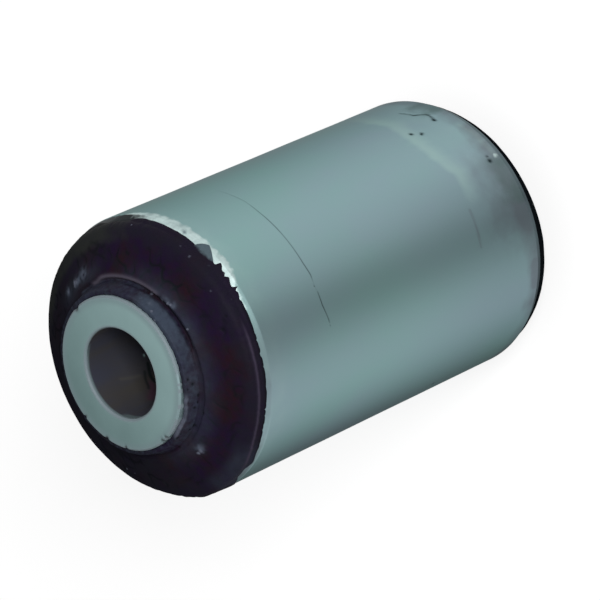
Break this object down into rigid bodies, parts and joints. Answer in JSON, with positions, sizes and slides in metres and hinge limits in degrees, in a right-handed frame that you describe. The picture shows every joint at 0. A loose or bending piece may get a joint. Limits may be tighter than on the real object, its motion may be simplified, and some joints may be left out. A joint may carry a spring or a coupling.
{
  "type": "rubber metal bush",
  "caption": "Cylindrical bonded bush: thin steel outer sleeve, rubber body with rounded end lips, thick steel inner tube for a bolt.",
  "frame": {"origin": "middle of the end face of the inner sleeve that the bush stands on", "axes": "+Z along the bore, up from the end that it stands on; X and Y are any two radii, as the form is round"},
  "size_m": [0.05, 0.05, 0.0914],
  "materials": {
    "sleeve_steel": "satin, lightly scratched",
    "rubber": "moulded, matt",
    "tube_steel": "faced, satin"
  },
  "bodies": {
    "root": {"outer_sleeve": "sleeve_steel", "rubber_body": "rubber", "inner_sleeve": "tube_steel"}
  },
  "joints": []
}
